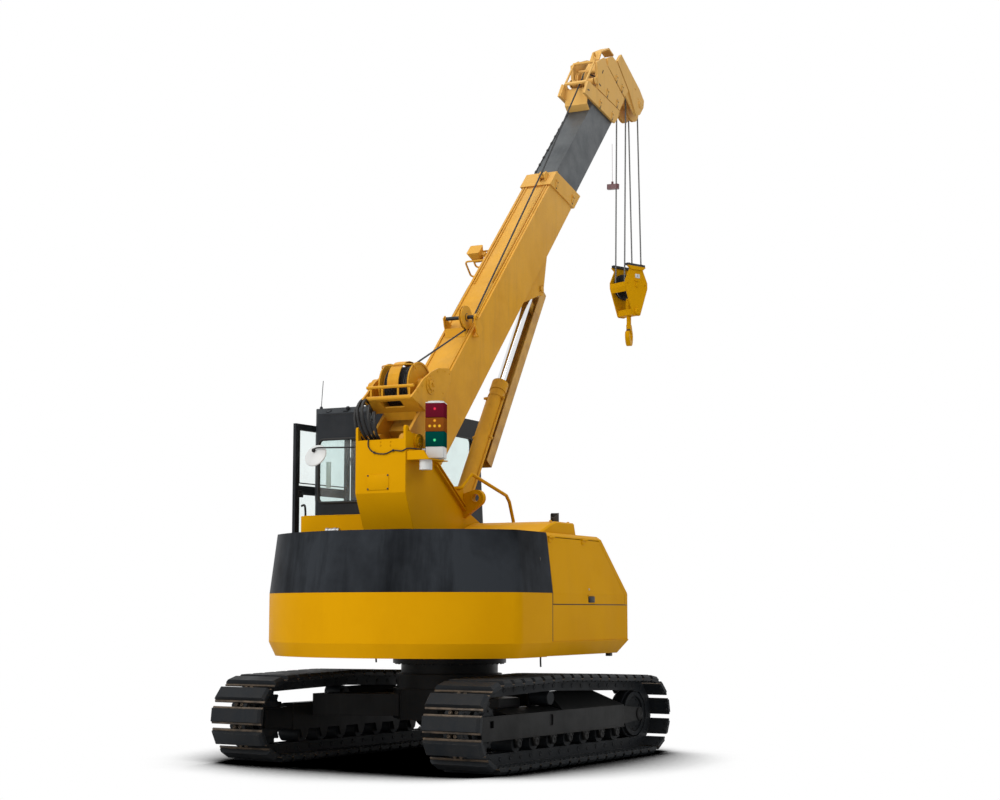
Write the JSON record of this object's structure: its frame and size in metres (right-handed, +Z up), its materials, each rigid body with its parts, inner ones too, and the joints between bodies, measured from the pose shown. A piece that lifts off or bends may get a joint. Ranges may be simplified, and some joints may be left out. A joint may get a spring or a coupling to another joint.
{
  "type": "telescopic crawler crane",
  "caption": "Telescopic boom crane on two steel tracks, with a side cab, a raked engine housing, a lift cylinder, a winch and a hook block on rope falls.",
  "frame": {"origin": "on the ground under the slewing axis", "axes": "+X forwards along the boom and the upper body, +Y to the left, +Z up; the tracks stand turned 6 degrees clockwise from +X as seen from above"},
  "size_m": [6.8195, 3.3412, 8.2101],
  "materials": {
    "body_yellow": "gloss",
    "boom_yellow": "satin",
    "gloss_black": "gloss",
    "chassis_black": "satin",
    "track_steel": "satin",
    "cab_black": "satin",
    "glass": "clear",
    "fly_grey": "satin",
    "chrome": "polished",
    "rope_steel": "satin",
    "dark_metal": "satin",
    "engine_grey": "satin",
    "seat_fabric": "matte",
    "white_plastic": "gloss",
    "rubber_black": "matte",
    "lamp_red": "gloss",
    "lamp_amber": "gloss",
    "lamp_green": "gloss",
    "weight_red": "satin",
    "bright_metal": "satin"
  },
  "bodies": {
    "undercarriage": {"car_body": "chassis_black", "slew_ring_lower": "chassis_black", "track_left": "track_steel", "track_right": "track_steel", "track_frame_left": "chassis_black", "track_frame_right": "chassis_black", "track_rollers_left": "track_steel", "track_rollers_right": "track_steel", "idler_left": "track_steel", "idler_right": "track_steel", "drive_sprocket_left": "track_steel", "drive_sprocket_right": "track_steel"},
    "upper": {"revolving_frame": "body_yellow", "slew_ring_upper": "chassis_black", "counterweight": "body_yellow", "counterweight_band": "gloss_black", "engine_bay": "body_yellow", "door_hinge_leaves": "body_yellow", "engine_bonnet": "body_yellow", "engine_block": "engine_grey", "exhaust_stub": "dark_metal", "boom_pedestal": "body_yellow", "cab_shell": "cab_black", "cab_glass": "glass", "operator_seat": "seat_fabric", "left_body": "body_yellow", "handrail": "body_yellow", "signal_lamps": "white_plastic", "lamp_lenses": "lamp_red", "mirror": "white_plastic"},
    "engine_door": {"engine_door": "body_yellow"},
    "cab_door": {"cab_door": "cab_black", "cab_door_glass": "glass"},
    "boom": {"boom_base": "boom_yellow", "wear_pads": "white_plastic", "winch_frame": "boom_yellow", "winch_drum": "boom_yellow", "rope_guide": "boom_yellow", "boom_lamp": "boom_yellow"},
    "fly": {"fly_section": "fly_grey", "boom_head": "boom_yellow", "head_sheaves": "boom_yellow"},
    "hook_block": {"hoist_ropes": "rope_steel", "limit_weight": "weight_red", "hook_block": "boom_yellow", "block_guards": "rubber_black", "block_sheaves": "dark_metal"},
    "hook": {"hook": "boom_yellow"},
    "lift_tube": {"lift_cylinder_tube": "boom_yellow"},
    "lift_rod": {"lift_cylinder_rod": "chrome"}
  },
  "joints": [
    {"name": "slew", "type": "hinge", "parent": "undercarriage", "child": "upper", "pos_m": [0, 0, 0.9], "axis": [0, 0, 1], "continuous": true},
    {"name": "boom_lift", "type": "hinge", "parent": "upper", "child": "boom", "pos_m": [-1.139, 0, 2.945], "axis": [0, -1, 0], "range_deg": [-41.6, 29.4]},
    {"name": "telescope", "type": "slide", "parent": "boom", "child": "fly", "axis": [0.6997, 0, 0.7145], "range_m": [-1, 2.3]},
    {"name": "hook_plumb", "type": "hinge", "parent": "fly", "child": "hook_block", "pos_m": [4.665, 0, 7.67], "axis": [0, -1, 0], "range_deg": [-30, 42]},
    {"name": "hook_swivel", "type": "hinge", "parent": "hook_block", "child": "hook", "pos_m": [4.665, 0, 4.9], "axis": [0, 0, 1], "continuous": true},
    {"name": "cylinder_tilt", "type": "hinge", "parent": "upper", "child": "lift_tube", "pos_m": [-0.5794, 0, 1.2455], "axis": [0, -1, 0], "range_deg": [-32.3, 22.85]},
    {"name": "cylinder_stroke", "type": "slide", "parent": "lift_tube", "child": "lift_rod", "axis": [0.5569, 0, 0.8306], "range_m": [-1.13, 0.8]},
    {"name": "engine_door", "type": "hinge", "parent": "upper", "child": "engine_door", "pos_m": [0, -1.27167, 2.08], "axis": [-1, 0, 0], "range_deg": [0, 75]},
    {"name": "cab_door", "type": "hinge", "parent": "upper", "child": "cab_door", "pos_m": [0.36, 1.35, 2.5], "axis": [0, 0, 1], "range_deg": [-175, 0]}
  ],
  "couplings": [
    {"joint": "hook_plumb", "follows": "boom_lift", "ratio": -1},
    {"joint": "cylinder_tilt", "follows": "boom_lift", "ratio": 0.775},
    {"joint": "cylinder_stroke", "follows": "boom_lift", "m_per_rad": 1.55}
  ]
}
